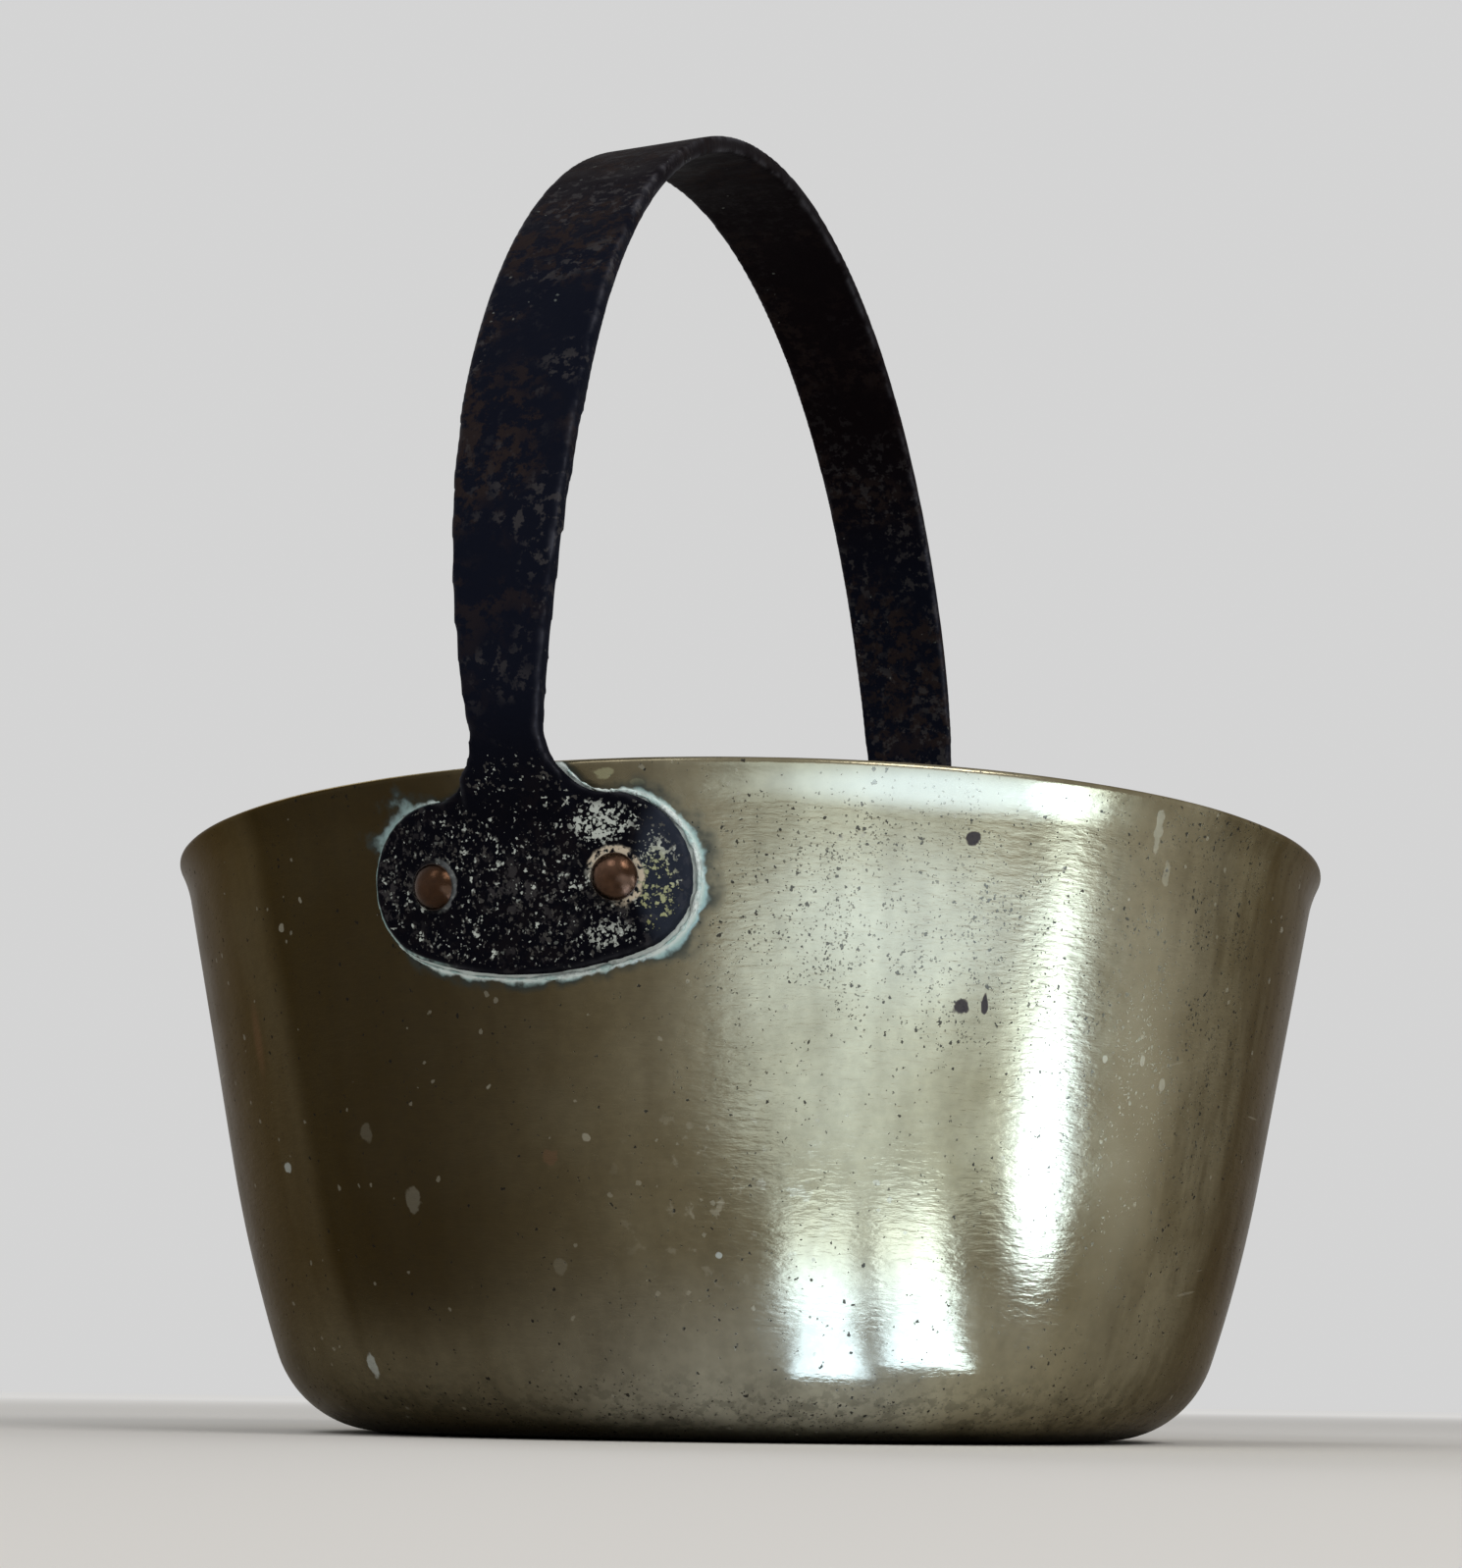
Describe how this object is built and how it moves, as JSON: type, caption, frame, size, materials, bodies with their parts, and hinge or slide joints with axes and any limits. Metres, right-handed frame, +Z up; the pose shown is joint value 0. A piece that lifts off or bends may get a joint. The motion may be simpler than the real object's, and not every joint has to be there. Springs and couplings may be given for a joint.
{
  "type": "jam pan",
  "caption": "Round jam pan of aged brass with a flared lip and a tall arched strap handle of forged iron, riveted on through oval palms.",
  "frame": {"origin": "middle of the pan's flat base, on its underside", "axes": "+Z is up along the pan's axis; the handle stands in the YZ plane, with its front palm at -Y and its back palm at +Y; +X is to the right as seen from the front"},
  "size_m": [0.305, 0.3302, 0.349],
  "materials": {
    "brass": "aged brass, hand polished long ago, with dark patina, water spots and fine turning lines",
    "black_iron": "black forged iron, satin, with rust-brown patches",
    "copper": "hammered copper, browned"
  },
  "bodies": {
    "root": {"pan": "brass", "handle": "black_iron", "rivet_front_left": "copper", "rivet_front_right": "copper", "rivet_back_left": "copper", "rivet_back_right": "copper"}
  },
  "joints": []
}
